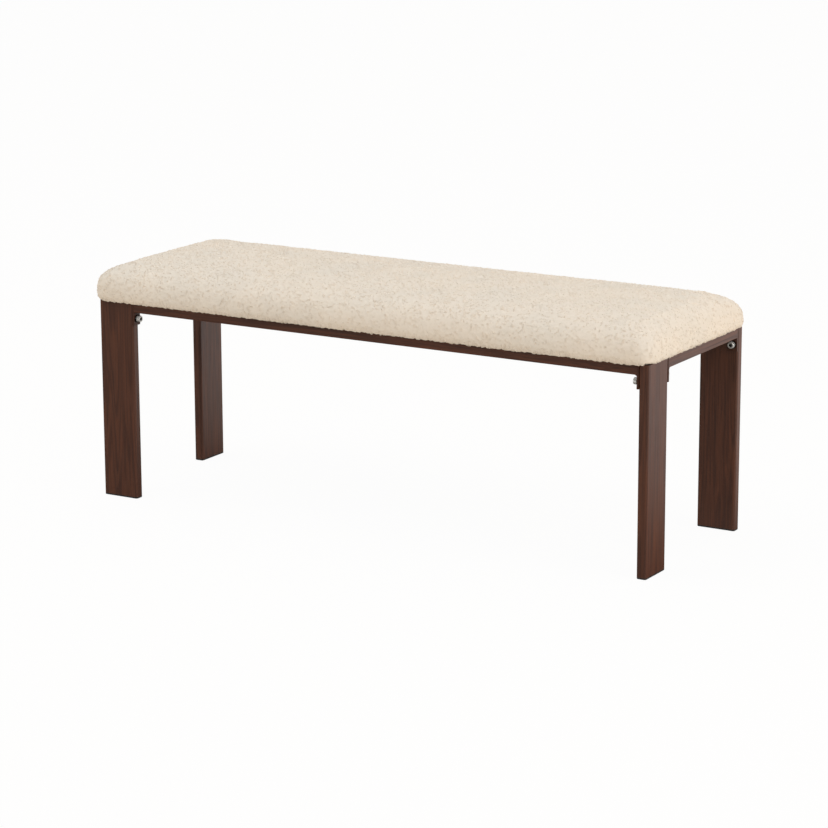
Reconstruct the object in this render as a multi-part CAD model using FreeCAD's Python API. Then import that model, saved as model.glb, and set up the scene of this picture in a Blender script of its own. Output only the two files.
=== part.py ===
"""Upholstered bench: a long crowned pad on a flat-packed frame of steel tube.

The four legs are one and the same flat tube. Going round the bench, each one stands a quarter
turn on from the last, so a corner shows a wide face on one side and a narrow face on the other.
Each rail runs from the narrow face of one leg to the wide face of the next, and ends in a plate
that hangs below the tube and takes the bolt. All sizes are in millimetres. X runs along the
bench, Y from front to back, Z up, and the origin is on the floor under the middle of the seat.
"""
import FreeCAD, Part
import math
import os
from FreeCAD import Vector

# Bench
bench_length = 1220.0
bench_depth = 400.0
frame_top = 402.0

# Legs
leg_width = 80.0
leg_thickness = 20.0
leg_wall = 2.0
leg_corner = 4.5

# Rails
rail_size = 20.0
rail_wall = 1.5
rail_corner = 2.0

# Plates on the ends of the rails
plate_thickness = 4.0
plate_drop = 26.0
weld_radius = 3.5
bolt_drop = 13.0

# Corner bolts and what is on them
bolt_diameter = 8.0
bolt_length = 20.0
bolt_head_diameter = 13.0
bolt_head_height = 8.0
bolt_socket_flats = 6.0
bolt_socket_depth = 4.0
bolt_hole_clearance = 0.5
thread_clearance = 0.05
washer_diameter = 16.0
washer_thickness = 1.6
leg_nut_flats = 13.0
leg_nut_height = 6.5

# Plugs in the feet of the legs
foot_flange = 3.0
foot_chamfer = 0.8
plug_depth = 22.0
plug_wall = 2.0
plug_clearance = 0.2
fin_count = 2
fin_thickness = 1.5
fin_height = 0.8

# Seat board
board_thickness = 15.0
board_corner = 22.0

# Pad and its cover
pad_overhang = 10.0
pad_tuck = 4.0
pad_rim_height = 10.0
pad_edge_depth = 55.0
pad_edge_rise = 50.0
pad_edge_fullness = 2.5
pad_crown = 17.0
pad_corner = 28.0
pad_top_corner = 44.0
pad_ridge = 19.0
pad_end_steepness = 0.2
edge_section_count = 6
crown_section_count = 3
lining_edge_section_count = 4
lining_crown_section_count = 2
cover_thickness = 4.0
cover_under_thickness = 2.0
cover_margin = 38.0
foam_clearance = 0.3

# Dust cover under the seat
dust_cover_thickness = 0.6
dust_cover_inset = 2.0

# Screws that hold the seat
long_rail_screws = 2
screw_diameter = 5.0
screw_length = 16.0
screw_tip_clearance = 1.0
screw_head_diameter = 10.0
screw_head_height = 3.0
screw_recess_length = 5.0
screw_recess_width = 1.2
screw_recess_depth = 1.8
screw_hole_clearance = 0.5
driver_hole_clearance = 1.0

# How near counts as touching
touching = 1e-6

# Sizes that follow
SIDES = ("front", "right", "back", "left")
SPANS = (bench_length, bench_depth, bench_length, bench_depth)
half_length = bench_length / 2
half_depth = bench_depth / 2
rim_depth = half_depth + pad_overhang
rail_bottom = frame_top - rail_size
bolt_height = rail_bottom - bolt_drop
board_bottom = frame_top + cover_under_thickness


def rounded_outline(width, depth, radius, z):
    """Closed outline of a rectangle with rounded corners, centred on the Z axis."""
    x, y = width / 2, depth / 2
    inner_x, inner_y = x - radius, y - radius
    diagonal = radius * math.sqrt(0.5)
    edges = []
    for turn in range(4):
        long_x, long_y = (inner_x, inner_y) if turn % 2 == 0 else (inner_y, inner_x)
        side = y if turn % 2 == 0 else x
        arc_start = Vector(long_x, -side, z)
        arc_middle = Vector(long_x + diagonal, -(long_y + diagonal), z)
        arc_end = Vector(long_x + radius, -long_y, z)
        line = Part.LineSegment(Vector(-long_x, -side, z), arc_start).toShape()
        arc = Part.Arc(arc_start, arc_middle, arc_end).toShape()
        for edge in (line, arc):
            edge.rotate(Vector(0, 0, 0), Vector(0, 0, 1), 90.0 * turn)
            edges.append(edge)
    return Part.Wire(Part.__sortEdges__(edges))


def rounded_block(width, depth, radius, z, height):
    """Upright block with rounded corners, centred on the Z axis."""
    face = Part.Face(rounded_outline(width, depth, radius, z))
    return face.extrude(Vector(0, 0, height))


def rod(diameter, start, length, axis=Vector(1, 0, 0)):
    """Round rod that runs from a point along an axis."""
    return Part.makeCylinder(diameter / 2, length, start, axis)


def hexagon(flats, x, length):
    """Six-sided bar along X, with its size across the flats."""
    radius = flats / math.sqrt(3)
    angles = [math.radians(60 * corner) for corner in range(7)]
    points = [Vector(x, radius * math.cos(a), radius * math.sin(a)) for a in angles]
    return Part.Face(Part.makePolygon(points)).extrude(Vector(length, 0, 0))


def block(length, width, height, start):
    """Plain block from the middle of its left end, half its width to each side."""
    return Part.makeBox(length, width, height, start - Vector(0, width / 2, 0))


def corner_point(corner):
    """Outer corner of the frame: front left, front right, back right, back left."""
    x = half_length if corner in (1, 2) else -half_length
    y = half_depth if corner in (2, 3) else -half_depth
    return Vector(x, y, 0)


def at_corner(shape, corner):
    """Turn a piece drawn at the front left corner round to another corner of the bench."""
    placed = shape.copy()
    placed.rotate(Vector(0, 0, 0), Vector(0, 0, 1), 90.0 * corner)
    placed.translate(corner_point(corner))
    return placed


def rail_start():
    """Distance from the corner to the narrow face of the leg, where a rail begins."""
    return leg_width


def rail_end(side):
    """Distance from the corner to the wide face of the next leg, where the rail ends."""
    return SPANS[side] - leg_thickness


def at_rail_ends(shape, side):
    """A piece drawn on a face at X = 0, away from the leg, set on both ends of a rail."""
    at_start = shape.copy()
    at_start.translate(Vector(rail_start(), rail_size / 2, 0))
    at_end = shape.copy()
    at_end.rotate(Vector(0, 0, 0), Vector(0, 0, 1), 180)
    at_end.translate(Vector(rail_end(side), rail_size / 2, 0))
    return [at_corner(at_start, side), at_corner(at_end, side)]


def rail_screw_points(side):
    """Places of the seat screws along one rail, evenly spaced. The short rails have none."""
    count = long_rail_screws if side % 2 == 0 else 0
    if not count:
        return []
    first = rail_start() + plate_thickness
    step = (rail_end(side) - plate_thickness - first) / count
    return [Vector(first + step * (i + 0.5), rail_size / 2, 0) for i in range(count)]


def at_seat_screws(shape):
    """A piece drawn on the Z axis, repeated at every seat screw of the bench."""
    copies = []
    for side in range(4):
        for point in rail_screw_points(side):
            copy = shape.copy()
            copy.translate(point)
            copies.append(at_corner(copy, side))
    return copies


def leg():
    """Flat tube with a bolt hole in its inner narrow face and one in its inner wide face."""
    height = frame_top - foot_flange
    tube = rounded_block(leg_width, leg_thickness, leg_corner, foot_flange, height)
    bore = block(leg_width - 2 * leg_wall, leg_thickness - 2 * leg_wall, height,
                 Vector(leg_wall - leg_width / 2, 0, foot_flange))
    tube = tube.cut(bore)
    tube.translate(Vector(leg_width / 2, leg_thickness / 2, 0))
    hole = bolt_diameter + 2 * bolt_hole_clearance
    narrow = rod(hole, Vector(leg_width - 2 * leg_wall, rail_size / 2, bolt_height), 3 * leg_wall)
    wide_start = Vector(rail_size / 2, leg_thickness - 2 * leg_wall, bolt_height)
    wide = rod(hole, wide_start, 3 * leg_wall, Vector(0, 1, 0))
    return tube.cut(narrow).cut(wide)


def foot_glide():
    """Plastic plug: a flange as wide as the leg on a hollow body with fins that grip the tube."""
    flange = rounded_block(leg_width, leg_thickness, leg_corner, 0, foot_flange)
    rim = [edge for edge in flange.Edges if edge.BoundBox.ZMax < touching]
    plug = flange.makeChamfer(foot_chamfer, rim)
    grip_length = leg_width - 2 * leg_wall - 2 * plug_clearance
    grip_width = leg_thickness - 2 * leg_wall - 2 * plug_clearance
    length, width = grip_length - 2 * fin_height, grip_width - 2 * fin_height
    plug = plug.fuse(block(length, width, plug_depth, Vector(-length / 2, 0, foot_flange)))
    step = plug_depth / (fin_count + 1)
    for fin in range(1, fin_count + 1):
        start = Vector(-grip_length / 2, 0, foot_flange + step * fin)
        plug = plug.fuse(block(grip_length, grip_width, fin_thickness, start))
    hollow = block(length - 2 * plug_wall, width - 2 * plug_wall, plug_depth,
                   Vector(plug_wall - length / 2, 0, foot_flange))
    plug = plug.cut(hollow).removeSplitter()
    plug.translate(Vector(leg_width / 2, leg_thickness / 2, 0))
    return plug


def rail(side):
    """Square tube with a screw hole in its top wall and a driver hole below each one."""
    start = rail_start() + plate_thickness
    length = rail_end(side) - plate_thickness - start
    outside = rounded_block(rail_size, rail_size, rail_corner, 0, length)
    bore_size = rail_size - 2 * rail_wall
    tube = outside.cut(block(bore_size, bore_size, length, Vector(-bore_size / 2, 0, 0)))
    tube.rotate(Vector(0, 0, 0), Vector(0, 1, 0), 90)
    tube.translate(Vector(start, rail_size / 2, frame_top - rail_size / 2))
    screw_hole = screw_diameter + 2 * screw_hole_clearance
    driver_hole = screw_head_diameter + 2 * driver_hole_clearance
    for point in rail_screw_points(side):
        top = Vector(point.x, point.y, frame_top - 2 * rail_wall)
        tube = tube.cut(rod(screw_hole, top, 3 * rail_wall, Vector(0, 0, 1)))
        bottom = Vector(point.x, point.y, rail_bottom - rail_wall)
        tube = tube.cut(rod(driver_hole, bottom, 3 * rail_wall, Vector(0, 0, 1)))
    return at_corner(tube, side)


def end_plate():
    """Plate on a rail's end: it closes the tube, hangs below it and has the weld under the rail."""
    height = rail_size + plate_drop
    low = rail_bottom - plate_drop
    plate = block(plate_thickness, rail_size, height, Vector(0, 0, low))
    weld_start = Vector(plate_thickness, -rail_size / 2, rail_bottom)
    radius = min(weld_radius, plate_drop / 2)
    below = weld_start + Vector(0, 0, -radius)
    outwards = weld_start + Vector(radius, 0, 0)
    hollow = radius * (1 - math.sqrt(0.5))
    middle = weld_start + Vector(hollow, 0, -hollow)
    edges = [Part.LineSegment(weld_start, below).toShape(),
             Part.Arc(below, middle, outwards).toShape(),
             Part.LineSegment(outwards, weld_start).toShape()]
    weld = Part.Face(Part.Wire(edges)).extrude(Vector(0, rail_size, 0))
    hole_start = Vector(-plate_thickness, 0, bolt_height)
    hole = rod(bolt_diameter + 2 * bolt_hole_clearance, hole_start, 3 * plate_thickness)
    return plate.fuse(weld).cut(hole).removeSplitter()


def corner_bolt():
    """Cap screw with a hexagon socket, seated on its washer."""
    seat = plate_thickness + washer_thickness
    head = rod(bolt_head_diameter, Vector(seat, 0, 0), bolt_head_height)
    head_end = seat + bolt_head_height
    shank = rod(bolt_diameter, Vector(seat - bolt_length, 0, 0), bolt_length)
    socket = hexagon(bolt_socket_flats, head_end - bolt_socket_depth, bolt_socket_depth)
    bolt = head.fuse(shank).cut(socket)
    bolt.translate(Vector(0, 0, bolt_height))
    return bolt


def washer():
    """Flat ring round the bolt, between the plate and the bolt's head."""
    start = Vector(plate_thickness, 0, bolt_height)
    hole = bolt_diameter + 2 * bolt_hole_clearance
    return rod(washer_diameter, start, washer_thickness).cut(rod(hole, start, washer_thickness))


def leg_nut():
    """Hexagon nut welded to the inside of a leg's wall, behind the bolt hole."""
    nut = hexagon(leg_nut_flats, -leg_wall - leg_nut_height, leg_nut_height)
    bore = rod(bolt_diameter + 2 * thread_clearance,
               Vector(-leg_wall - 2 * leg_nut_height, 0, 0), 3 * leg_nut_height)
    nut = nut.cut(bore)
    nut.translate(Vector(0, 0, bolt_height))
    return nut


def seat_screw():
    """Wood screw whose head is inside the rail, up through the rail's top wall into the board."""
    up = Vector(0, 0, 1)
    seat = frame_top - rail_wall
    head_start = Vector(0, 0, seat - screw_head_height)
    screw = rod(screw_head_diameter, head_start, screw_head_height, up)
    screw = screw.fuse(rod(screw_diameter, Vector(0, 0, seat), screw_length, up))
    for turn in (0, 90):
        slot = block(screw_recess_length, screw_recess_width, screw_recess_depth,
                     head_start - Vector(screw_recess_length / 2, 0, 0))
        slot.rotate(Vector(0, 0, 0), up, turn)
        screw = screw.cut(slot)
    return screw


def seat_board():
    """Plywood board as large as the frame, with a pilot hole for each seat screw."""
    board = rounded_block(bench_length, bench_depth, board_corner, board_bottom, board_thickness)
    pilot = rod(screw_diameter + 2 * thread_clearance, Vector(0, 0, frame_top - rail_wall),
                screw_length + screw_tip_clearance, Vector(0, 0, 1))
    return board.cut(Part.makeCompound(at_seat_screws(pilot)))


def pad_outline(inset, shrink):
    """Outline of the pad at a distance in from its rim, at the height that it has there."""
    share = min(inset / pad_edge_depth, 1.0)
    edge = pad_edge_rise * (1 - (1 - share) ** pad_edge_fullness) ** (1 / pad_edge_fullness)
    crown = pad_crown * (1 - (1 - inset / rim_depth) ** 2)
    height = frame_top + pad_rim_height + edge + crown - shrink * share
    along = half_length + pad_overhang - inset * (1 - pad_end_steepness * share) - shrink
    across = rim_depth - inset - shrink
    radius = pad_corner + (pad_top_corner - pad_corner) * share
    return rounded_outline(2 * along, 2 * across, radius, height)


def pad_form(shrink, bottom, edge_steps, crown_steps):
    """Crowned pad, lofted upwards through rounded outlines and drawn in below its rim.

    The same form, made smaller by a shrink, gives the inside of the cover and the foam.
    """
    tuck = 2 * (pad_overhang - pad_tuck - shrink)
    outlines = [rounded_outline(bench_length + tuck, bench_depth + tuck, pad_corner - shrink,
                                bottom)]
    for step in range(edge_steps):
        angle = math.radians(90.0 * step / edge_steps)
        outlines.append(pad_outline(pad_edge_depth * (1 - math.cos(angle)), shrink))
    crown_depth = rim_depth - pad_edge_depth - pad_top_corner - pad_ridge
    for step in range(crown_steps + 1):
        inset = pad_edge_depth + crown_depth * step / crown_steps
        outlines.append(pad_outline(inset, shrink))
    return Part.makeLoft(outlines, True, True)


def seat_cover():
    """Fabric cover: pulled over the pad, turned under the board and open in the middle below."""
    outside = pad_form(0.0, frame_top, edge_section_count, crown_section_count)
    inside = pad_form(cover_thickness, board_bottom, lining_edge_section_count,
                      lining_crown_section_count)
    edge = pad_overhang - pad_tuck - cover_margin
    opening = rounded_block(bench_length + 2 * edge, bench_depth + 2 * edge, board_corner,
                            frame_top - board_thickness, 2 * board_thickness)
    cut = hexagon(screw_diameter + 2 * screw_hole_clearance, frame_top - rail_wall,
                  2 * rail_wall + cover_under_thickness)
    cut.rotate(Vector(0, 0, 0), Vector(0, 1, 0), -90)
    cover = outside.cut(inside).cut(opening)
    return cover.cut(Part.makeCompound(at_seat_screws(cut)))


def foam_pad():
    """Foam on the board, with a thin wrap of wadding over the board's edge."""
    foam = pad_form(cover_thickness + foam_clearance, board_bottom, lining_edge_section_count,
                    lining_crown_section_count)
    board = rounded_block(bench_length, bench_depth, board_corner, board_bottom, board_thickness)
    return foam.cut(board)


def dust_cover():
    """Thin cloth that closes the underside between the rails."""
    inset = rail_size + dust_cover_inset
    start = Vector(inset - half_length, 0, frame_top - dust_cover_thickness)
    return block(bench_length - 2 * inset, bench_depth - 2 * inset, dust_cover_thickness, start)


def at_every_joint(piece):
    """A piece of the bolted joint, repeated at both ends of every rail."""
    return [copy for side in range(4) for copy in at_rail_ends(piece, side)]


def export(name, *solids):
    shape = solids[0] if len(solids) == 1 else Part.makeCompound(list(solids))
    shape.exportStep("parts/" + name + ".step")
    print(name, len(shape.Solids), "solids", round(shape.Volume), "mm3", shape.isValid())


def build():
    os.makedirs("parts", exist_ok=True)
    export("seat_cover", seat_cover())
    export("foam_pad", foam_pad())
    export("seat_board", seat_board())
    export("dust_cover", dust_cover())
    corner_names = ("front_left", "front_right", "back_right", "back_left")
    for corner, name in enumerate(corner_names):
        export("leg_" + name, at_corner(leg(), corner))
        export("foot_glide_" + name, at_corner(foot_glide(), corner))
    for side, name in enumerate(SIDES):
        export(name + "_rail", rail(side))
        export(name + "_rail_plates", *at_rail_ends(end_plate(), side))
    export("corner_bolts", *at_every_joint(corner_bolt()))
    export("flat_washers", *at_every_joint(washer()))
    export("leg_nuts", *at_every_joint(leg_nut()))
    export("seat_screws", *at_seat_screws(seat_screw()))


build()
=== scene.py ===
"""Dresses the upholstered bench: curly pile cushion, walnut-grain steel frame, bolts and staples.

The file is laid out as an add-on. Each operator makes or finishes one group of pieces, the
properties hold what a user would change, and main runs the operators in order. Lengths are in
metres: X runs along the bench, Y from front to back, Z up, with the origin on the floor.
"""
import math

import bmesh
import bpy
import numpy as np
from bpy.props import FloatProperty, FloatVectorProperty, IntProperty, PointerProperty
from mathutils import Matrix, Vector


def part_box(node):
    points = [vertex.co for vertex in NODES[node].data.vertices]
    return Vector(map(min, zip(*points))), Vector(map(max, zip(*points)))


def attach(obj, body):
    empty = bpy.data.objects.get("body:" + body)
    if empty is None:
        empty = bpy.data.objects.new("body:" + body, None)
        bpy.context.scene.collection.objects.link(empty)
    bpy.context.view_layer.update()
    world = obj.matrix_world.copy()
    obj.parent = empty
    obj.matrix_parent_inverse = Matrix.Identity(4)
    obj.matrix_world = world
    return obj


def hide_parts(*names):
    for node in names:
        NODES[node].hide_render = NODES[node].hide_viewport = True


bl_info = {
    "name": "Upholstered bench",
    "version": (1, 0, 0),
    "blender": (4, 5, 0),
    "location": "3D View > Sidebar > Bench",
    "description": "Makes the cushion, finishes and hardware of an upholstered bench",
    "category": "Object",
}

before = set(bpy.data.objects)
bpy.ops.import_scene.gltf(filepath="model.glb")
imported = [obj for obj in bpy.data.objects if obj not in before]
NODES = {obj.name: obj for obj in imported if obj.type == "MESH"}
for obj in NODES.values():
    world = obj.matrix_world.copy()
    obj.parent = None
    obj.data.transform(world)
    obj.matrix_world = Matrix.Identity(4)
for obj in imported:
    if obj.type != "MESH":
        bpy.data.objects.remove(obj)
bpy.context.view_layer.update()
BODY = "root"
MM = 0.001
SEED = 7
CORNERS = ("front_left", "front_right", "back_right", "back_left")
SIDES = ("front", "right", "back", "left")

# The frame's own places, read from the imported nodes
BACK_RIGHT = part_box("leg_back_right")[1]
HALF_LENGTH = BACK_RIGHT.x
HALF_DEPTH = BACK_RIGHT.y
FRAME_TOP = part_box("front_rail")[1].z
DUST_LOW, DUST_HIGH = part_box("dust_cover")


# Settings

def colour(name, description, default):
    """Colour property, as linear red, green and blue."""
    return FloatVectorProperty(name=name, description=description, default=default, subtype="COLOR",
                               size=3, min=0.0, max=1.0)


def length(name, description, default):
    """Length property in metres."""
    return FloatProperty(name=name, description=description, default=default, min=0.0,
                         subtype="DISTANCE", unit="LENGTH")


class BenchCushion(bpy.types.PropertyGroup):
    """Form and pile of the seat cushion."""

    shift: FloatProperty(name="Shift", description="How far the pad sits off the middle, along X",
                         default=-2.5 * MM, subtype="DISTANCE", unit="LENGTH")
    overhang: length("Overhang", "How far the rim stands out past the frame", 10.5 * MM)
    tuck: length("Tuck", "How far the cushion draws in below its rim", 3 * MM)
    rim_height: length("Rim height", "Height of the widest line above the frame", 10 * MM)
    edge_depth: length("Edge depth", "Width of the rounded edge", 54 * MM)
    edge_rise: length("Edge rise", "Height of the rounded edge", 48.5 * MM)
    edge_fullness: FloatProperty(name="Edge fullness", description="Squareness of the edge",
                                 default=2.5, min=1.0)
    left_fullness: FloatProperty(name="Left fullness", default=1.0, min=0.0,
                                 description="How much squarer the edge is at the left end")
    crown: length("Crown", "Rise of the top from its edge to its middle line", 14.5 * MM)
    droop: length("Droop", "How far the pile hangs over the top of the frame", 5.5 * MM)
    corner: length("Corner", "Radius of the corners at the rim", 30 * MM)
    corner_growth: FloatProperty(name="Corner growth", default=0.3, min=0.0,
                                 description="Growth of the corner radius for each inset")
    voxel: length("Voxel", "Size of the mesh before the pile", 6 * MM)
    swell: length("Swell", "Most that a point may move as the foam fills the cover", 3 * MM)
    pressure: FloatProperty(name="Pressure", description="Push of the foam", default=4.0)
    lump_size: length("Lump size", "Width of one clump of pile", 6.5 * MM)
    lump_height: length("Lump height", "Depth of the gaps between clumps", 0.55 * MM)
    curl_size: length("Curl size", "Width of one curl of yarn", 3.8 * MM)
    curl_yarn: length("Curl yarn", "Thickness of the yarn", 0.9 * MM)
    curl_density: FloatProperty(name="Curl density", description="Curls in a square metre",
                                default=20000.0, min=0.0)
    light: colour("Light pile", "Colour of the tips", (0.87, 0.765, 0.65))
    # Painted shade: the colour that the pile takes down between the clumps
    gap_shade: colour("Deep pile", "Colour between the clumps", (0.84, 0.735, 0.615))
    worn: colour("Worn pile", "Greyer colour of rubbed patches", (0.76, 0.70, 0.62))


class BenchFinish(bpy.types.PropertyGroup):
    """Colours of the frame, its fittings and what the cover hides."""

    walnut: colour("Walnut", "Main colour of the wood-grain coating", (0.090, 0.026, 0.009))
    walnut_dark: colour("Dark grain", "Colour of the grain lines", (0.043, 0.011, 0.004))
    walnut_red: colour("Red grain", "Colour of the warm streaks", (0.118, 0.033, 0.011))
    zinc: colour("Zinc", "Colour of the plated screws", (0.78, 0.77, 0.74))
    # Painted shade: a near-black colour laid inside the hexagon sockets of the bolts
    socket_shade: colour("Socket shade", "Colour inside the sockets", (0.03, 0.028, 0.026))
    black: colour("Black", "Colour of washers, feet and dust cover", (0.016, 0.015, 0.015))
    bare_steel: colour("Bare steel", "Colour where black oxide is rubbed", (0.16, 0.15, 0.14))
    plastic_light: colour("Plastic light", "Lighter grains of the feet", (0.032, 0.031, 0.030))
    cloth_light: colour("Cloth light", "Lighter fibres of the dust cover", (0.045, 0.044, 0.043))
    plywood: colour("Plywood", "Colour of the seat board", (0.55, 0.38, 0.22))
    glue_line: colour("Glue line", "Colour between two veneers", (0.25, 0.15, 0.08))
    foam: colour("Foam", "Colour of the foam", (0.86, 0.80, 0.62))
    foam_deep: colour("Deep foam", "Colour inside the foam's cells", (0.70, 0.62, 0.44))
    veneer: length("Veneer", "Thickness of one veneer of the board", 3 * MM)
    steel_roughness: FloatProperty(name="Frame roughness", default=0.44, min=0.0, max=1.0,
                                   description="Roughness of the coated steel")


class BenchHardware(bpy.types.PropertyGroup):
    """Sizes of the bolts and staples."""

    head_diameter: length("Head diameter", "Width of the bolt head", 13 * MM)
    head_height: length("Head height", "Height of the bolt head", 8 * MM)
    washer: length("Washer", "Thickness of the washer under the head", 1.6 * MM)
    shank_diameter: length("Shank diameter", "Width of the bolt's shank", 8 * MM)
    shank_length: length("Shank length", "Length of the bolt below its head", 20 * MM)
    socket_flats: length("Socket", "Size of the hexagon socket across its flats", 6 * MM)
    socket_depth: length("Socket depth", "Depth of the hexagon socket", 4 * MM)
    softening: length("Softening", "Width of the softened edges", 0.7 * MM)
    knurls: IntProperty(name="Knurls", description="Grooves round the bolt head", default=48, min=3)
    staple_pitch: length("Staple pitch", "Distance from one staple to the next", 38 * MM)
    staple_crown: length("Staple crown", "Width of a staple", 10 * MM)
    staple_leg: length("Staple leg", "How far a staple goes into the board", 3 * MM)
    staple_wire: length("Staple wire", "Thickness of a staple", 0.9 * MM)
    staple_inset: length("Staple inset", "From the edge of the dust cover to the staples", 7 * MM)


class BenchStage(bpy.types.PropertyGroup):
    """Camera, light and floor."""

    azimuth: FloatProperty(name="Azimuth", description="Camera's turn from the front, in degrees",
                           default=30.791)
    elevation: FloatProperty(name="Elevation", description="Camera's height, in degrees",
                             default=13.592)
    roll: FloatProperty(name="Roll", description="Camera's tilt, in degrees", default=-0.210)
    distance: length("Distance", "From the camera to its target", 5.892)
    lens: FloatProperty(name="Lens", description="Focal length in millimetres", default=135.38)
    world: FloatProperty(name="World light", description="Strength of the even light", default=0.68)
    key: FloatProperty(name="Key light", description="Power of the lamp on the right", default=48.0)
    fill: FloatProperty(name="Fill light", description="Power of the lamp above", default=52.0)
    floor: colour("Floor", "Colour of the floor", (0.86, 0.78, 0.68))


# Node trees written as Python

class Value:
    """A node's output whose arithmetic adds Math nodes to its tree."""

    def __init__(self, graph, socket):
        self.graph = graph
        self.socket = socket

    def __add__(self, other):
        return self.graph.math("ADD", self, other)

    def __radd__(self, other):
        return self.graph.math("ADD", other, self)

    def __sub__(self, other):
        return self.graph.math("SUBTRACT", self, other)

    def __rsub__(self, other):
        return self.graph.math("SUBTRACT", other, self)

    def __mul__(self, other):
        return self.graph.math("MULTIPLY", self, other)

    def __rtruediv__(self, other):
        return self.graph.math("DIVIDE", other, self)


class Graph:
    """A node tree that is written as expressions."""

    def __init__(self, tree):
        self.tree = tree

    def node(self, kind, values=(), output=0, **settings):
        """Adds a node: its settings first, then the values or links of its inputs."""
        made = self.tree.nodes.new(kind)
        for name, setting in settings.items():
            setattr(made, name, setting)
        for key, value in dict(values).items():
            self.feed(made.inputs[key], value)
        return Value(self, made.outputs[output]) if made.outputs else None

    def feed(self, socket, value):
        """Links a value to an input, or writes a constant on it."""
        if isinstance(value, Value):
            self.tree.links.new(value.socket, socket)
        else:
            socket.default_value = value

    def output(self, value, number):
        """Another output of the node that made a value."""
        return Value(self, value.socket.node.outputs[number])

    def math(self, operation, a, b=0.0):
        """One Math node."""
        return self.node("ShaderNodeMath", {0: a, 1: b}, operation=operation)

    def vector(self, operation, a, b):
        """One Vector Math node, whose second value is a number only for SCALE."""
        second = "Scale" if operation == "SCALE" else 1
        return self.node("ShaderNodeVectorMath", {0: a, second: b}, operation=operation)

    def part(self, vector, axis):
        """One coordinate of a vector."""
        return self.node("ShaderNodeSeparateXYZ", {0: vector}, output=axis)

    def ripples(self, value, rate):
        """Ripples from 0 to 1 that follow each other along a value."""
        return self.math("ABSOLUTE", self.math("SINE", value * rate))

    def clamp(self, value, low, high):
        """A value's place between two limits, from 0 to 1, eased at both."""
        return self.node("ShaderNodeMapRange", {0: value, 1: low, 2: high},
                         interpolation_type="SMOOTHSTEP")

    def mix(self, factor, a, b):
        """A colour between two colours."""
        shades = [shade if isinstance(shade, Value) else (*shade, 1.0) for shade in (a, b)]
        return self.node("ShaderNodeMix", {0: factor, 6: shades[0], 7: shades[1]}, output=2,
                         data_type="RGBA")

    def noise(self, place, scale, detail=2.0, roughness=0.5, distortion=0.0):
        """Cloudy noise from 0 to 1."""
        return self.node("ShaderNodeTexNoise", {
            "Vector": place, "Scale": scale, "Detail": detail, "Roughness": roughness,
            "Distortion": distortion})


class Finish(Graph):
    """A material with one Principled shader, whose patterns lie on Object coordinates."""

    def __init__(self, name):
        self.material = bpy.data.materials.new(name)
        self.material.use_nodes = True
        super().__init__(self.material.node_tree)
        self.shader = self.tree.nodes["Principled BSDF"]
        self.place = self.node("ShaderNodeTexCoord", output=3)

    def stretched(self, scale):
        """Object coordinates, stretched along the axes."""
        return self.node("ShaderNodeMapping", {"Vector": self.place, "Scale": scale})

    def attribute(self, name):
        """A number that the mesh holds at each point."""
        return self.node("ShaderNodeAttribute", output=2, attribute_name=name)

    def set(self, **values):
        """Feeds the shader's inputs, named with underscores for spaces."""
        for name, value in values.items():
            self.feed(self.shader.inputs[name.replace("_", " ")], value)

    def bump(self, height, distance, strength=1.0):
        """Surface relief from a height."""
        self.set(Normal=self.node("ShaderNodeBump", {"Height": height, "Distance": distance,
                                                     "Strength": strength}))


# Finishes

def pile_fabric(cushion):
    """Cream curly pile: soft strands in clumps, with painted shade darkening the gaps between them.
    """
    cloth = Finish("curly_pile")
    fuzz = cloth.noise(cloth.place, scale=220.0, detail=2.0, roughness=0.6, distortion=1.5)
    strands = cloth.noise(cloth.place, scale=95.0, detail=1.0, roughness=0.5, distortion=2.5)
    ridge = cloth.ripples(strands, rate=42.0)
    fibre = cloth.noise(cloth.place, scale=1400.0, detail=2.0, roughness=0.7)
    patches = cloth.noise(cloth.place, scale=9.0, detail=3.0, roughness=0.6)
    # Painted shade: where the pile lies low between clumps its colour darkens, while the tips and
    # curls stay light
    relief = cloth.attribute("pile_height")
    tip = cloth.clamp(relief * 0.7 + ridge * 0.22 + fuzz * 0.18 + fibre * 0.12, 0.15, 0.95)
    shade = cloth.mix(tip, cushion.gap_shade, cushion.light)
    rubbed = cloth.mix(cloth.clamp(patches, 0.35, 0.7) * 0.35, shade, cushion.worn)
    cloth.set(Base_Color=rubbed, Roughness=0.95, Sheen_Weight=0.25, Sheen_Roughness=0.6,
              Sheen_Tint=(1.0, 0.93, 0.84, 1.0), Specular_IOR_Level=0.15)
    cloth.bump(ridge * 0.55 + fibre * 0.35 + fuzz * 0.4, 0.5 * MM, strength=0.6)
    return cloth.material


def walnut_steel(name, finish, along):
    """Steel tube in a satin wood-grain coating, with its grain along one axis."""
    steel = Finish(name)
    broad = [26.0, 26.0, 26.0]
    broad[along] = 1.1
    narrow = [4.2 * scale for scale in broad]
    fine = [520.0, 520.0, 520.0]
    fine[along] = 7.0
    figure = steel.noise(steel.stretched(broad), 1.0, detail=3.0, roughness=0.55, distortion=0.9)
    rings = steel.ripples(figure, rate=34.0)
    streaks = steel.noise(steel.stretched(narrow), 1.0, detail=4.0, roughness=0.65, distortion=0.4)
    pores = steel.clamp(steel.noise(steel.stretched(fine), 1.0), 0.56, 0.68)
    warm = steel.mix(steel.clamp(streaks, 0.35, 0.68), finish.walnut, finish.walnut_red)
    ringed = steel.mix(steel.clamp(rings, 0.55, 1.0) * 0.55, warm, finish.walnut_dark)
    grained = steel.mix(pores * 0.55, ringed, finish.walnut_dark)
    wear = steel.noise(steel.place, scale=60.0, detail=3.0, roughness=0.6)
    steel.set(Base_Color=grained, Roughness=finish.steel_roughness + pores * 0.12 + wear * 0.08,
              Specular_IOR_Level=0.65)
    steel.bump(pores * -1.0 + rings * 0.15, 0.05 * MM, strength=0.5)
    return steel.material


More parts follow.
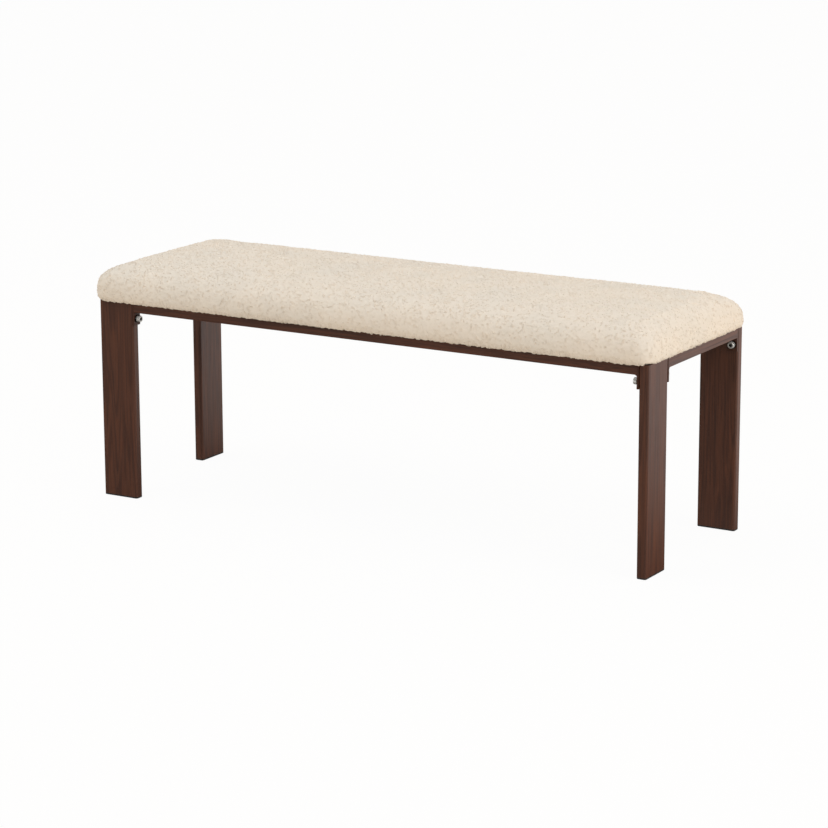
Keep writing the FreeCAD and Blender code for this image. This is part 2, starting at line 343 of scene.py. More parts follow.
def zinc_plate(name, finish, roughness):
    """Bright zinc plating with fine handling marks, and painted shade that darkens the sockets."""
    zinc = Finish(name)
    recess = zinc.attribute("recess")
    cloud = zinc.noise(zinc.place, scale=300.0, detail=3.0, roughness=0.6)
    marks = zinc.noise(zinc.stretched((2500.0, 900.0, 2500.0)), 1.0, roughness=0.6)
    plated = zinc.mix(cloud, [part * 0.82 for part in finish.zinc], finish.zinc)
    # Painted shade: the recess mask darkens the inside of each socket almost to black
    zinc.set(Base_Color=zinc.mix(recess * 0.96, plated, finish.socket_shade), Metallic=0.65,
             Roughness=roughness + cloud * 0.12 + marks * 0.08 + recess * 0.3)
    zinc.bump(marks, 0.02 * MM, strength=0.4)
    return zinc.material


def black_washer(finish):
    """Black oxide steel with a little bare metal where it is rubbed."""
    oxide = Finish("black_oxide")
    rub = oxide.clamp(oxide.noise(oxide.place, scale=700.0, detail=3.0, roughness=0.7), 0.58, 0.75)
    oxide.set(Base_Color=oxide.mix(rub * 0.5, finish.black, finish.bare_steel), Metallic=0.85,
              Roughness=0.5 - rub * 0.15)
    oxide.bump(rub, 0.02 * MM, strength=0.4)
    return oxide.material


def black_plastic(finish):
    """Black moulded plastic with a fine spark texture."""
    plastic = Finish("black_plastic")
    spark = plastic.noise(plastic.place, scale=1800.0, roughness=0.6)
    plastic.set(Base_Color=plastic.mix(spark, finish.black, finish.plastic_light),
                Roughness=0.55 + spark * 0.15)
    plastic.bump(spark, 0.04 * MM, strength=0.6)
    return plastic.material


def plate_paint(finish):
    """Brown powder coat on the rail end plates."""
    paint = Finish("brown_powder_coat")
    grain = paint.noise(paint.place, scale=900.0, detail=3.0, roughness=0.6)
    patch = paint.noise(paint.place, scale=40.0)
    paint.set(Base_Color=paint.mix(patch, finish.walnut, finish.walnut_dark),
              Roughness=0.45 + grain * 0.12)
    paint.bump(grain, 0.04 * MM, strength=0.4)
    return paint.material


def plywood_board(finish):
    """Raw plywood: long grain on the faces, thin bands of veneer on the edges."""
    ply = Finish("raw_plywood")
    grain = ply.noise(ply.stretched((3.0, 90.0, 90.0)), 1.0, detail=4.0, roughness=0.6,
                      distortion=0.6)
    bands = ply.ripples(ply.part(ply.place, 2), rate=math.pi / finish.veneer)
    shade = ply.mix(grain, finish.plywood, [part * 0.62 for part in finish.plywood])
    ply.set(Base_Color=ply.mix(bands * 0.25, shade, finish.glue_line), Roughness=0.8)
    ply.bump(grain, 0.1 * MM, strength=0.4)
    return ply.material


def dust_cloth(finish):
    """Black non-woven cloth, pressed with a grid of small points."""
    cloth = Finish("dust_cloth")
    points = cloth.node("ShaderNodeTexVoronoi", {"Vector": cloth.place, "Scale": 420.0,
                                                 "Randomness": 0.15})
    dots = 1.0 - cloth.clamp(points, 0.12, 0.4)
    fibre = cloth.noise(cloth.place, scale=2600.0, detail=3.0, roughness=0.7)
    cloth.set(Base_Color=cloth.mix(fibre, finish.black, finish.cloth_light),
              Roughness=0.9 - dots * 0.25, Sheen_Weight=0.1)
    cloth.bump(fibre * 0.4 - dots, 0.15 * MM, strength=0.6)
    return cloth.material


def foam_block(finish):
    """Open-cell foam with its wadding, inside the cover."""
    foam = Finish("foam")
    cells = foam.noise(foam.place, scale=900.0, detail=3.0, roughness=0.7)
    foam.set(Base_Color=foam.mix(cells, finish.foam, finish.foam_deep), Roughness=0.95)
    foam.bump(cells, 0.3 * MM, strength=0.6)
    return foam.material


# Meshes

def assign(material, *nodes):
    """Gives CAD nodes a material in place of their plain one."""
    for name in nodes:
        slots = NODES[name].data.materials
        slots.clear()
        slots.append(material)


def shown(name, mesh):
    """An object at the origin that is part of the scene."""
    made = bpy.data.objects.new(name, mesh)
    bpy.context.scene.collection.objects.link(made)
    return made


def evaluated_mesh(thing, name):
    """The mesh that an object's modifiers make, as a plain mesh."""
    graph = bpy.context.evaluated_depsgraph_get()
    mesh = bpy.data.meshes.new_from_object(thing.evaluated_get(graph), depsgraph=graph)
    mesh.name = name
    return mesh


def apply_modifier(thing, modifier):
    """Bakes one modifier into the object's own mesh."""
    mesh = evaluated_mesh(thing, thing.data.name)
    thing.modifiers.remove(modifier)
    thing.data = mesh


def mesh_from(builder, name):
    """Turns a bmesh into a mesh."""
    mesh = bpy.data.meshes.new(name)
    builder.to_mesh(mesh)
    builder.free()
    return mesh


def skin(rings):
    """Side faces through rings that all hold the same number of points, with their vertices."""
    builder = bmesh.new()
    rows = [[builder.verts.new(point) for point in ring] for ring in rings]
    count = len(rows[0])
    for low, high in zip(rows, rows[1:]):
        for i in range(count):
            j = (i + 1) % count
            builder.faces.new((low[i], low[j], high[j], high[i]))
    return builder, rows


def closed_skin(rings):
    """Side faces through the same kind of rings, closed by one face at each end."""
    builder, rows = skin(rings)
    builder.faces.new(rows[0][::-1])
    builder.faces.new(rows[-1])
    return builder


def tube(points, radius, sides, name):
    """Closed tube round a line of points, with few faces, for shapes that repeat."""
    rings = []
    normal = None
    for index, point in enumerate(points):
        before, after = points[max(index - 1, 0)], points[min(index + 1, len(points) - 1)]
        along = (after - before).normalized()
        if normal is None:
            normal = along.orthogonal()
        normal = (normal - along * normal.dot(along)).normalized()
        across = along.cross(normal)
        angles = [2 * math.pi * side / sides for side in range(sides)]
        rings.append([point + (normal * math.cos(a) + across * math.sin(a)) * radius
                      for a in angles])
    return mesh_from(closed_skin(rings), name)


# Form of the cushion

END_STEEPNESS = 0.2
LEFT_REACH = 100 * MM
CONTACT_GAP = 0.3 * MM
FLAT_WITHIN = 0.4 * MM
FIRM_HEIGHT = 5 * MM
LAST_STRIP = 2 * MM
EDGE_RINGS = 12
CROWN_RINGS = 8
STRAIGHT_STEPS = 24
CORNER_STEPS = 8
SWELL_FRAMES = 20
CLOTH_STIFFNESS = 20.0


def rounded_ring(half_x, half_y, radius, z):
    """Points round a rounded rectangle, the same number at every size."""
    points = []
    inner_x, inner_y = half_x - radius, half_y - radius
    corners = ((inner_x, -inner_y, -90), (inner_x, inner_y, 0), (-inner_x, inner_y, 90),
               (-inner_x, -inner_y, 180))
    for index, (x, y, start) in enumerate(corners):
        for step in range(CORNER_STEPS + 1):
            angle = math.radians(start + 90 * step / CORNER_STEPS)
            points.append(Vector((x + radius * math.cos(angle), y + radius * math.sin(angle), z)))
        next_x, next_y, next_start = corners[(index + 1) % 4]
        angle = math.radians(next_start)
        goal = Vector((next_x + radius * math.cos(angle), next_y + radius * math.sin(angle), z))
        corner_end = points[-1]
        for step in range(1, STRAIGHT_STEPS):
            points.append(corner_end.lerp(goal, step / STRAIGHT_STEPS))
    return points


def cushion_level(cushion, inset):
    """Ring of the cushion at a distance in from its rim, squarer towards the left end."""
    share = min(inset / cushion.edge_depth, 1.0)
    rim_depth = HALF_DEPTH + cushion.overhang
    crown = cushion.crown * (1 - (1 - inset / rim_depth) ** 2)
    z = FRAME_TOP + cushion.rim_height + crown
    half_x = HALF_LENGTH + cushion.overhang - inset * (1 - END_STEEPNESS * share)
    half_y = rim_depth - inset
    radius = min(cushion.corner + cushion.corner_growth * inset, half_y - MM)
    ring = rounded_ring(half_x, half_y, radius, z)
    for point in ring:
        leftward = min(max((-point.x - HALF_LENGTH) / LEFT_REACH + 1, 0.0), 1.0)
        power = cushion.edge_fullness + cushion.left_fullness * leftward
        point.z += cushion.edge_rise * (1 - (1 - share) ** power) ** (1 / power)
    return ring


def cushion_form(cushion):
    """Closed crowned form, flat below, with its sides drawn in under the rim."""
    foot_x = HALF_LENGTH + cushion.overhang - cushion.tuck
    foot_y = HALF_DEPTH + cushion.overhang - cushion.tuck
    rings = [rounded_ring(foot_x, foot_y, cushion.corner, FRAME_TOP + CONTACT_GAP)]
    for step in range(EDGE_RINGS):
        angle = math.radians(90 * step / EDGE_RINGS)
        rings.append(cushion_level(cushion, cushion.edge_depth * (1 - math.cos(angle))))
    reach = HALF_DEPTH + cushion.overhang - cushion.edge_depth - LAST_STRIP
    for step in range(CROWN_RINGS + 1):
        rings.append(cushion_level(cushion, cushion.edge_depth + reach * step / CROWN_RINGS))
    builder = closed_skin(rings)
    bmesh.ops.translate(builder, verts=builder.verts[:], vec=(cushion.shift, 0, 0))
    return mesh_from(builder, "seat_cushion")


def inflate(pad, cushion):
    """Lets the foam fill the cover: pressure swells the form, held along its lower edge."""
    start = np.array([v.co for v in pad.data.vertices])
    outward = np.array([v.normal for v in pad.data.vertices])
    held = pad.vertex_groups.new(name="held")
    low = FRAME_TOP + CONTACT_GAP + FIRM_HEIGHT
    held.add([v.index for v in pad.data.vertices if v.co.z < low], 1.0, "REPLACE")
    cloth = pad.modifiers.new("swell", "CLOTH")
    cloth.settings.vertex_group_mass = held.name
    cloth.settings.use_pressure = True
    cloth.settings.uniform_pressure_force = cushion.pressure
    cloth.settings.effector_weights.gravity = 0.0
    cloth.settings.tension_stiffness = CLOTH_STIFFNESS
    cloth.settings.compression_stiffness = CLOTH_STIFFNESS
    cloth.settings.quality = 5
    cloth.collision_settings.use_collision = False
    cloth.point_cache.frame_start = 1
    cloth.point_cache.frame_end = SWELL_FRAMES
    scene = bpy.context.scene
    for step in range(1, SWELL_FRAMES + 1):
        scene.frame_set(step)
    mesh = evaluated_mesh(pad, "seat_cushion")
    pad.modifiers.remove(cloth)
    scene.frame_set(1)
    moved = np.array([v.co for v in mesh.vertices]) - start
    swell = np.clip((moved * outward).sum(axis=1, keepdims=True), 0.0, cushion.swell)
    mesh.vertices.foreach_set("co", (start + outward * swell).astype(np.float32).ravel())
    pad.data = mesh


def open_underside(mesh):
    """Replaces the many faces that rest on the frame by one."""
    builder = bmesh.new()
    builder.from_mesh(mesh)
    low = FRAME_TOP + CONTACT_GAP + FLAT_WITHIN
    under = [face for face in builder.faces
             if all(v.co.z < low and abs(v.co.x) < HALF_LENGTH and abs(v.co.y) < HALF_DEPTH
                    for v in face.verts)]
    bmesh.ops.delete(builder, geom=under, context="FACES")
    rim = [edge for edge in builder.edges if edge.is_boundary]
    bmesh.ops.contextual_create(builder, geom=rim)
    builder.to_mesh(mesh)
    builder.free()


# Geometry node trees

def tree_with(name, **inputs):
    """A geometry node tree with named inputs, and the values of those inputs."""
    tree = bpy.data.node_groups.new(name, "GeometryNodeTree")
    tree.interface.new_socket("Geometry", in_out="INPUT", socket_type="NodeSocketGeometry")
    for label, kind in inputs.items():
        tree.interface.new_socket(label, in_out="INPUT", socket_type="NodeSocket" + kind)
    tree.interface.new_socket("Geometry", in_out="OUTPUT", socket_type="NodeSocketGeometry")
    graph = Graph(tree)
    given = graph.node("NodeGroupInput")
    return graph, [graph.output(given, number) for number in range(len(inputs) + 1)]


def finish_tree(graph, geometry, material):
    """Ends a tree with real geometry in one material."""
    real = graph.node("GeometryNodeRealizeInstances", {"Geometry": geometry})
    dressed = graph.node("GeometryNodeSetMaterial", {"Geometry": real, "Material": material})
    graph.node("NodeGroupOutput", {0: dressed})


def run_tree(thing, tree, values):
    """Runs a geometry node tree on an object and returns the mesh that it makes."""
    modifier = thing.modifiers.new(tree.name, "NODES")
    modifier.node_group = tree
    sockets = {item.name: item.identifier for item in tree.interface.items_tree
               if item.in_out == "INPUT"}
    for name, value in values.items():
        modifier[sockets[name]] = value
    mesh = evaluated_mesh(thing, tree.name)
    thing.modifiers.remove(modifier)
    return mesh


# Curly pile

CURL_STEPS = 6
CURL_SIDES = 3
CURL_TURN = math.radians(400)
CURL_WINDING = 0.45
CURL_RISE = 0.18
CURL_SINK = 0.1
CURL_LEAN = 0.25
CURL_SPIN = 6.28
CURL_SMALLEST = 0.7
CURL_LARGEST = 1.3
CURL_TIP = 0.9
EXTRA_LOW_CURLS = 1.5
CLUMP_BEND = 0.9
WAVE_SHARE = 1.4
DROOP_FROM = 1 * MM
DROOP_FULL = 5 * MM
DROOP_REACH = 10 * MM
RELIEF_FROM = 2 * MM
RELIEF_FULL = 5 * MM
PLANTED_OUTSIDE = 3 * MM
PLANTED_ABOVE = 10 * MM


def curl_points(size):
    """One loose turn of yarn that rises from the backing and winds in on itself."""
    points = []
    for step in range(CURL_STEPS + 1):
        share = step / CURL_STEPS
        angle = share * CURL_TURN
        radius = size / 2 * (1 - CURL_WINDING * share)
        height = size * (CURL_RISE * math.sin(math.pi * share) - CURL_SINK)
        points.append(Vector((radius * math.cos(angle), radius * math.sin(angle), height)))
    return points


def clump_height(graph, place, size):
    """Height of the pile from 0 to 1: bent clumps with curls along them."""
    drift = graph.output(graph.noise(place, scale=130.0), 1)
    shift = graph.vector("SUBTRACT", drift, (0.5, 0.5, 0.5))
    bent = graph.vector("ADD", place, graph.vector("SCALE", shift, size * CLUMP_BEND))
    clumps = graph.node("ShaderNodeTexVoronoi", {"Vector": bent, "Scale": 1.0 / size,
                                                 "Smoothness": 0.35}, feature="SMOOTH_F1")
    curls = graph.ripples(graph.noise(place, scale=90.0, detail=1.0), rate=30.0)
    return graph.clamp(1.0 - clumps * 1.15 + curls * 0.25, 0.05, 1.0)


def relief_tree():
    """Geometry nodes that raise the pile in clumps, let it hang and plant curls of yarn on it."""
    graph, (surface, size, height, droop, curl, density, seed, material) = tree_with(
        "pile_relief", Lump="Float", Height="Float", Droop="Float", Curl="Object",
        Density="Float", Seed="Int", Material="Material")
    place = graph.node("GeometryNodeInputPosition")
    high = clump_height(graph, place, size)
    waves = graph.noise(place, scale=16.0)
    x, y = (graph.math("ABSOLUTE", graph.part(place, axis)) for axis in (0, 1))
    z = graph.part(place, 2)
    outside = graph.math("MAXIMUM", x - HALF_LENGTH, y - HALF_DEPTH)
    low = 1.0 - graph.clamp(z, FRAME_TOP, FRAME_TOP + DROOP_REACH)
    hangs = graph.clamp(outside, DROOP_FROM, DROOP_FULL) * low * (high * 0.6 + 0.6)
    free = graph.clamp(z, FRAME_TOP + RELIEF_FROM, FRAME_TOP + RELIEF_FULL)
    lift = ((high - 0.6) * height + (waves - 0.5) * (height * WAVE_SHARE)) * free
    offset = graph.vector("SCALE", graph.node("GeometryNodeInputNormal"), lift)
    fall = graph.node("ShaderNodeCombineXYZ", {2: hangs * (0.0 - droop)})
    raised = graph.node("GeometryNodeSetPosition", {"Geometry": surface,
                                                    "Offset": graph.vector("ADD", offset, fall)})
    # pile_height also sets the pile's painted shade between clumps
    stored = graph.node("GeometryNodeStoreNamedAttribute",
                        {"Geometry": raised, "Name": "pile_height", "Value": high},
                        data_type="FLOAT", domain="POINT")
    smooth = graph.node("GeometryNodeSetShadeSmooth", {"Geometry": stored})
    where = (graph.math("GREATER_THAN", outside, PLANTED_OUTSIDE)
             + graph.math("GREATER_THAN", z, FRAME_TOP + PLANTED_ABOVE))
    curls = planted_curls(graph, smooth, curl, density * (1.0 + low * EXTRA_LOW_CURLS), seed,
                          where)
    joined = graph.node("GeometryNodeJoinGeometry", {0: smooth})
    graph.feed(joined.socket.node.inputs[0], curls)
    finish_tree(graph, joined, material)
    return graph.tree


def planted_curls(graph, surface, curl, density, seed, where):
    """Curls scattered over a surface, each turned and leaning its own way."""
    planted = graph.node("GeometryNodeDistributePointsOnFaces",
                         {"Mesh": surface, "Selection": where, "Density": density, "Seed": seed})
    lean = graph.node("FunctionNodeRandomValue",
                      {0: (-CURL_LEAN, -CURL_LEAN, 0.0), 1: (CURL_LEAN, CURL_LEAN, CURL_SPIN),
                       "Seed": seed}, data_type="FLOAT_VECTOR")
    turned = graph.node("FunctionNodeRotateRotation", {0: graph.output(planted, 2), 1: lean},
                        rotation_space="LOCAL")
    scale = graph.node("FunctionNodeRandomValue",
                       {2: CURL_SMALLEST, 3: CURL_LARGEST, "Seed": seed}, output=1,
                       data_type="FLOAT")
    shape = graph.node("GeometryNodeObjectInfo", {0: curl}, output="Geometry")
    return graph.node("GeometryNodeInstanceOnPoints",
                      {"Points": planted, "Instance": shape, "Rotation": turned, "Scale": scale})


# What is set on points: bolts and staples

def placing_tree():
    """Geometry nodes that put one shape on every point, along the point's own direction."""
    graph, (points, shape, spin, seed, material) = tree_with(
        "set_on_points", Shape="Object", Spin="Float", Seed="Int", Material="Material")
    direction = graph.node("GeometryNodeInputNamedAttribute", {"Name": "direction"},
                           data_type="FLOAT_VECTOR")
    facing = graph.node("FunctionNodeAlignRotationToVector", {"Vector": direction}, axis="X",
                        pivot_axis="Z")
    angle = graph.node("FunctionNodeRandomValue", {2: 0.0, 3: spin, "Seed": seed}, output=1,
                       data_type="FLOAT")
    roll = graph.node("ShaderNodeCombineXYZ", {0: angle})
    turned = graph.node("FunctionNodeRotateRotation", {0: facing, 1: roll},
                        rotation_space="LOCAL")
    piece = graph.node("GeometryNodeObjectInfo", {0: shape}, output="Geometry")
    placed = graph.node("GeometryNodeInstanceOnPoints",
                        {"Points": points, "Instance": piece, "Rotation": turned})
    finish_tree(graph, placed, material)
    return graph.tree


def points_mesh(name, places):
    """A mesh of bare points, each with the direction that its copy faces."""
    mesh = bpy.data.meshes.new(name)
    mesh.from_pydata([place for place, direction in places], [], [])
    facing = mesh.attributes.new("direction", "FLOAT_VECTOR", "POINT")
    for entry, (place, direction) in zip(facing.data, places):
        entry.vector = direction
    return mesh


def set_on_points(name, shape, places, spin, material):
    """Puts a shape on every place and makes one riding piece of the copies."""
    holder = shown(name + "_points", points_mesh(name, places))
    model = bpy.data.objects.new(name + "_shape", shape)
    mesh = run_tree(holder, placing_tree(), {"Shape": model, "Spin": spin, "Seed": SEED,
                                             "Material": material})
    bpy.data.objects.remove(holder)
    bpy.data.objects.remove(model)
    piece = shown(name, mesh)
    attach(piece, BODY)
    return piece


class BENCH_OT_cushion(bpy.types.Operator):
    """Make the crowned cushion with its curly pile"""

    bl_idname = "bench.cushion"
    bl_label = "Make cushion"

    def execute(self, context):
        cushion = context.scene.bench_cushion
        pad = shown("seat_cushion", cushion_form(cushion))
        remesh = pad.modifiers.new("even", "REMESH")
        remesh.mode = "VOXEL"
        remesh.voxel_size = cushion.voxel
        apply_modifier(pad, remesh)
        inflate(pad, cushion)
        finer = pad.modifiers.new("finer", "SUBSURF")
        finer.levels = finer.render_levels = 1
        apply_modifier(pad, finer)
        open_underside(pad.data)
        yarn = tube(curl_points(cushion.curl_size), cushion.curl_yarn / 2, CURL_SIDES, "curl")
        # Curls count as tips, so the pile's painted shade leaves them light
        tips = yarn.attributes.new("pile_height", "FLOAT", "POINT")
        tips.data.foreach_set("value", [CURL_TIP] * len(yarn.vertices))
        curl = bpy.data.objects.new("curl", yarn)
        values = {"Lump": cushion.lump_size, "Height": cushion.lump_height,
                  "Droop": cushion.droop, "Curl": curl, "Seed": SEED,
                  "Density": cushion.curl_density, "Material": pile_fabric(cushion)}
        pad.data = run_tree(pad, relief_tree(), values)
        bpy.data.objects.remove(curl)
        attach(pad, BODY)
        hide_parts("seat_cover", "foam_pad")
        return {"FINISHED"}


class BENCH_OT_finish_frame(bpy.types.Operator):
    """Give the legs, rails, plates and feet their finishes"""

    bl_idname = "bench.finish_frame"
    bl_label = "Finish frame"

    def execute(self, context):
        finish = context.scene.bench_finish
        assign(walnut_steel("walnut_upright", finish, 2), *("leg_" + c for c in CORNERS))
        assign(walnut_steel("walnut_lengthwise", finish, 0), "front_rail", "back_rail")
        assign(walnut_steel("walnut_crosswise", finish, 1), "left_rail", "right_rail")
        assign(plate_paint(finish), *(s + "_rail_plates" for s in SIDES))
        assign(black_plastic(finish), *("foot_glide_" + c for c in CORNERS))
        assign(black_washer(finish), "flat_washers")
        assign(zinc_plate("zinc_plate", finish, roughness=0.28), "leg_nuts", "seat_screws")
        assign(plywood_board(finish), "seat_board")
        assign(dust_cloth(finish), "dust_cover")
        assign(foam_block(finish), "foam_pad")
        return {"FINISHED"}


# Bolts

KNURL_SHARE = 0.965
CHAMFER_SHARE = 0.64


def turned_ring(x, radii):
    """Points round the X axis, one for each radius."""
    angles = [2 * math.pi * step / len(radii) for step in range(len(radii))]
    return [Vector((x, radius * math.cos(angle), radius * math.sin(angle)))
            for radius, angle in zip(radii, angles)]


def hexagon_radii(flats, turns):
    """Distances from the middle of a hexagon to its edge, one for each step round it."""
    angles = [2 * math.pi * step / turns for step in range(turns)]
    folded = [(angle + math.pi / 6) % (math.pi / 3) - math.pi / 6 for angle in angles]
    return [flats / 2 / math.cos(angle) for angle in folded]


def cap_screw(hardware):
    """Cap screw along X: a knurled head with a softened edge, a hexagon socket and a shank."""
    turns = hardware.knurls * 2
    seat = hardware.washer
    top = seat + hardware.head_height
    end = seat - hardware.shank_length
    floor = top - hardware.socket_depth
    head = hardware.head_diameter / 2
    shank = hardware.shank_diameter / 2
    flats = hardware.socket_flats
    soft = hardware.softening
    knurled = [head * KNURL_SHARE, head] * hardware.knurls
    # Distances along the screw with their radii, below the knurls and above them
    profile = ((end, shank - soft), (end + soft, shank), (seat, shank), (seat, head - soft / 2))
    brim = ((top - soft, head - 0.3 * soft), (top - 0.25 * soft, head - 0.8 * soft),
            (top, head - 1.6 * soft), (top, flats * CHAMFER_SHARE))
    rings = [turned_ring(x, [radius] * turns) for x, radius in profile]
    rings += [turned_ring(x, knurled) for x in (seat + soft, top - 2 * soft)]
    rings += [turned_ring(x, [radius] * turns) for x, radius in brim]
    rings += [turned_ring(x, hexagon_radii(flats, turns)) for x in (top - soft, floor)]
    builder, rows = skin(rings)
    for row, tip in ((rows[0], end), (rows[-1], floor - soft)):
        middle = builder.verts.new(Vector((tip, 0, 0)))
        for i in range(turns):
            builder.faces.new((row[i], row[(i + 1) % turns], middle))
    bmesh.ops.recalc_face_normals(builder, faces=builder.faces[:])
    inner = turns * (len(rows) - 2)
    screw = mesh_from(builder, "cap_screw")
    # recess is 1 on the socket's inner faces, where the zinc finish paints shade
    recess = screw.attributes.new("recess", "FLOAT", "POINT")
    recess.data.foreach_set("value", [float(index >= inner and vertex.co.x > seat)
                                      for index, vertex in enumerate(screw.vertices)])
    return screw


def joint_places():
    """Middle of every bolt on the face of its plate, with the direction that its head faces."""
    low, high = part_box("corner_bolts")
    height = (low.z + high.z) / 2
    places = []
    for side in SIDES:
        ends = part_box(side + "_rail")
        axis = 0 if side in ("front", "back") else 1
        for end, facing in ((0, 1.0), (1, -1.0)):
            place = (ends[0] + ends[1]) / 2
            place.z = height
            place[axis] = ends[end][axis]
            direction = Vector((0, 0, 0))
            direction[axis] = facing
            places.append((place, direction))
    return places


class BENCH_OT_bolts(bpy.types.Operator):
    """Put a knurled cap screw in every corner joint"""

    bl_idname = "bench.bolts"
    bl_label = "Make bolts"

    def execute(self, context):
        hardware = context.scene.bench_hardware
        material = zinc_plate("zinc_bolts", context.scene.bench_finish, roughness=0.22)
        bolts = set_on_points("cap_screws", cap_screw(hardware), joint_places(), 2 * math.pi,
                              material)
        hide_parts("corner_bolts")
        return {"FINISHED"}


# Staples

STAPLE_SIDES = 4


def staple_places(hardware):
    """Even places round the dust cover, each facing along its own edge."""
    inset = hardware.staple_inset
    half_x, half_y = DUST_HIGH.x - inset, DUST_HIGH.y - inset
    places = []
    for turn in range(4):
        along, across = (half_x, half_y) if turn % 2 == 0 else (half_y, half_x)
        turned = Matrix.Rotation(math.pi / 2 * turn, 3, "Z")
        count = round(2 * along / hardware.staple_pitch)
        for step in range(count):
            place = Vector((along * (2 * (step + 0.5) / count - 1), -across, DUST_LOW.z))
            places.append((turned @ place, turned @ Vector((1, 0, 0))))
    return places


def staple(hardware):
    """Wire staple: a crown that lies on the cloth and two legs that go up into the board."""
    half = hardware.staple_crown / 2
    bend = hardware.staple_wire
    low = -hardware.staple_wire / 2
    points = [Vector((-half, 0, hardware.staple_leg)), Vector((-half, 0, low + bend)),
              Vector((bend - half, 0, low)), Vector((half - bend, 0, low)),
              Vector((half, 0, low + bend)), Vector((half, 0, hardware.staple_leg))]
    return tube(points, hardware.staple_wire / 2, STAPLE_SIDES, "staple")


class BENCH_OT_staples(bpy.types.Operator):
    """Staple the dust cover to the board"""

    bl_idname = "bench.staples"
    bl_label = "Make staples"

    def execute(self, context):
        hardware = context.scene.bench_hardware
        material = zinc_plate("staple_wire", context.scene.bench_finish, roughness=0.35)
        set_on_points("staples", staple(hardware), staple_places(hardware), 0.0, material)
        return {"FINISHED"}


# Stage

FLOOR_SIZE = 40.0
CAMERA_TARGET = Vector((0.110320, -0.186325, 0.250))
SENSOR_WIDTH = 36.0
BENCH_MIDDLE = Vector((0.0, 0.0, 0.3))
KEY_PLACE = Vector((3.8, -0.35, 1.7))
KEY_SIZE = 2.2
KEY_TINT = (1.0, 0.985, 0.96)
FILL_PLACE = Vector((-1.6, -1.2, 4.0))
FILL_SIZE = 3.0
FILL_TINT = (0.85, 0.94, 1.0)
WORLD_TINT = (1.0, 0.99, 0.972, 1.0)
WHITE = (1.0, 1.0, 1.0, 1.0)
DARK_FLOOR = (0.06, 0.06, 0.06, 1.0)
FLOOR_WHITENESS = 0.96
GLOSS_WHITENESS = 0.9

# Where gloss turns from dark to white, from front to back: metres on the floor, and the Y of a
# direction in the world
FLOOR_DARK_TO, FLOOR_WHITE_FROM = -0.1, 1.2
WORLD_DARK_TO, WORLD_WHITE_FROM = -0.8, 0.3


def floor_material(stage):
    """Pale floor that shows nearly white to the camera, with a faint shadow.

    In gloss it is white behind the bench and dark in front of it. From below it is clear.
    """
    floor = Finish("pale_floor")
    floor.tree.nodes.remove(floor.shader)
    path = floor.node("ShaderNodeLightPath")
    glossy = floor.output(path, 3)
    bright = floor.clamp(floor.part(floor.place, 1), FLOOR_DARK_TO, FLOOR_WHITE_FROM)
    matt = floor.node("ShaderNodeBsdfDiffuse", {"Color": (*stage.floor, 1.0)})
    dark = floor.node("ShaderNodeEmission", {"Color": DARK_FLOOR, "Strength": 1.0})
    white = floor.node("ShaderNodeEmission", {"Color": WHITE, "Strength": 1.0})
    clear = floor.node("ShaderNodeBsdfTransparent")
    below = floor.node("ShaderNodeNewGeometry", output="Backfacing")
    whiteness = floor.math("MAXIMUM", path * FLOOR_WHITENESS, glossy * bright)
    base = floor.node("ShaderNodeMixShader", {0: glossy * (1.0 - bright), 1: matt, 2: dark})
    above = floor.node("ShaderNodeMixShader", {0: whiteness, 1: base, 2: white})
    either = floor.node("ShaderNodeMixShader", {0: below, 1: above, 2: clear})
    output = [node for node in floor.tree.nodes if node.type == "OUTPUT_MATERIAL"][0]
    floor.feed(output.inputs[0], either)
    return floor.material


def light_world(scene, stage):
    """Even light all round, white to the camera, and in gloss dimmer towards the front."""
    scene.world = bpy.data.worlds.new("studio")
    scene.world.use_nodes = True
    graph = Graph(scene.world.node_tree)
    scene.world.node_tree.nodes.clear()
    path = graph.node("ShaderNodeLightPath")
    way = graph.node("ShaderNodeTexCoord", output=0)
    behind = graph.clamp(graph.part(way, 1), WORLD_DARK_TO, WORLD_WHITE_FROM)
    glossy = graph.output(path, 3) * behind * GLOSS_WHITENESS
    direct = graph.math("MAXIMUM", path, glossy)
    strength = direct + (1.0 - direct) * stage.world
    light = graph.node("ShaderNodeBackground", {0: WORLD_TINT, 1: strength})
    graph.node("ShaderNodeOutputWorld", {0: light})


def lamp(name, power, size, place, tint):
    """Square soft box that faces the bench."""
    data = bpy.data.lights.new(name, "AREA")
    data.energy = power
    data.color = tint
    data.size = size
    box = shown(name, data)
    box.location = place
    box.rotation_euler = (BENCH_MIDDLE - place).to_track_quat("-Z", "Y").to_euler()


def set_camera(scene, stage):
    """Camera at the photograph's place, turned by its small roll."""
    turn, rise = math.radians(stage.azimuth), math.radians(stage.elevation)
    roll = math.radians(stage.roll)
    back = Vector((math.sin(turn) * math.cos(rise), -math.cos(turn) * math.cos(rise),
                   math.sin(rise)))
    level = Vector((math.cos(turn), math.sin(turn), 0))
    upright = back.cross(level)
    right = level * math.cos(roll) + upright * math.sin(roll)
    up = upright * math.cos(roll) - level * math.sin(roll)
    matrix = Matrix((right, up, back)).transposed().to_4x4()
    matrix.translation = CAMERA_TARGET + back * stage.distance
    data = bpy.data.cameras.new("camera")
    data.lens = stage.lens
    data.sensor_width = SENSOR_WIDTH
    camera = shown("camera", data)
    camera.matrix_world = matrix
    scene.camera = camera


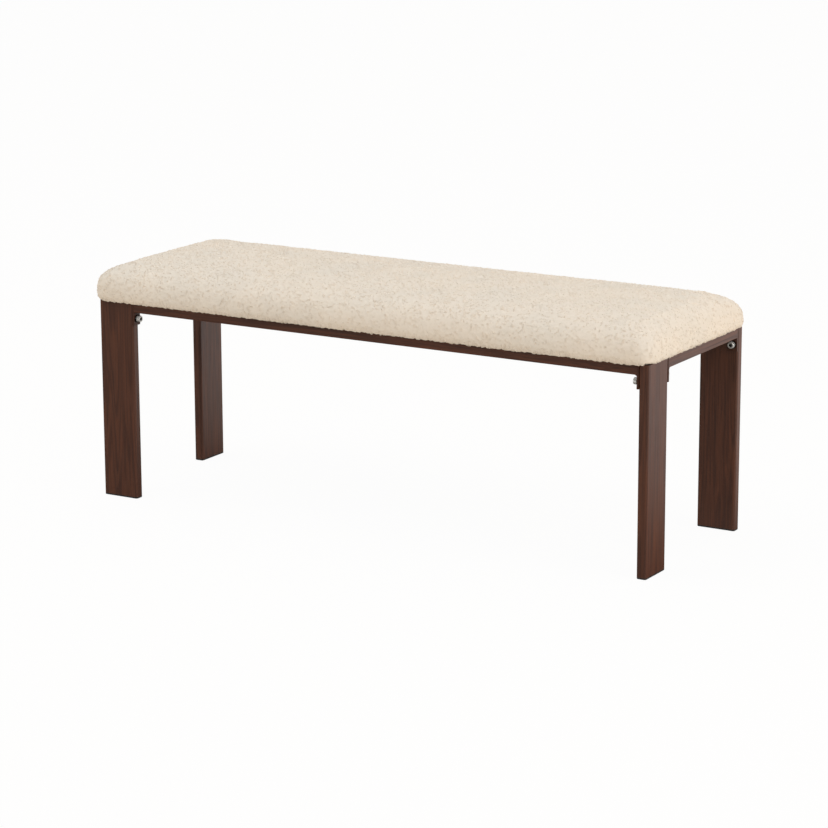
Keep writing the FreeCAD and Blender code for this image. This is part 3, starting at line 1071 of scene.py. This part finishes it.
class BENCH_OT_stage(bpy.types.Operator):
    """Set the floor, the lights and the camera"""

    bl_idname = "bench.stage"
    bl_label = "Set stage"

    def execute(self, context):
        scene = context.scene
        stage = scene.bench_stage
        builder = bmesh.new()
        bmesh.ops.create_grid(builder, x_segments=1, y_segments=1, size=FLOOR_SIZE)
        floor = shown("floor", mesh_from(builder, "floor"))
        floor.data.materials.append(floor_material(stage))
        light_world(scene, stage)
        lamp("key_lamp", stage.key, KEY_SIZE, KEY_PLACE, KEY_TINT)
        lamp("fill_lamp", stage.fill, FILL_SIZE, FILL_PLACE, FILL_TINT)
        set_camera(scene, stage)
        scene.view_settings.view_transform = "Standard"
        return {"FINISHED"}


# The add-on

class BENCH_PT_panel(bpy.types.Panel):
    """Bench settings and the steps that make it"""

    bl_idname = "BENCH_PT_panel"
    bl_label = "Bench"
    bl_space_type = "VIEW_3D"
    bl_region_type = "UI"
    bl_category = "Bench"

    def draw(self, context):
        for step in STEPS:
            self.layout.operator(step.bl_idname)
        for label in GROUPS:
            group = getattr(context.scene, label)
            box = self.layout.box()
            for name in group.__annotations__:
                box.prop(group, name)


GROUPS = {"bench_cushion": BenchCushion, "bench_finish": BenchFinish,
          "bench_hardware": BenchHardware, "bench_stage": BenchStage}
STEPS = (BENCH_OT_finish_frame, BENCH_OT_cushion, BENCH_OT_bolts, BENCH_OT_staples,
         BENCH_OT_stage)


def register():
    """Adds the settings, the operators and the panel."""
    for group in GROUPS.values():
        bpy.utils.register_class(group)
    for step in STEPS:
        bpy.utils.register_class(step)
    bpy.utils.register_class(BENCH_PT_panel)
    for name, group in GROUPS.items():
        setattr(bpy.types.Scene, name, PointerProperty(type=group))


def unregister():
    """Takes away what register added."""
    for name in GROUPS:
        delattr(bpy.types.Scene, name)
    bpy.utils.unregister_class(BENCH_PT_panel)
    for step in reversed(STEPS):
        bpy.utils.unregister_class(step)
    for group in GROUPS.values():
        bpy.utils.unregister_class(group)


def run(step):
    """Calls an operator by its name."""
    family, name = step.bl_idname.split(".")
    getattr(getattr(bpy.ops, family), name)()


def main():
    """Makes the whole bench."""
    register()
    for step in STEPS:
        run(step)


if __name__ == "__main__":
    main()
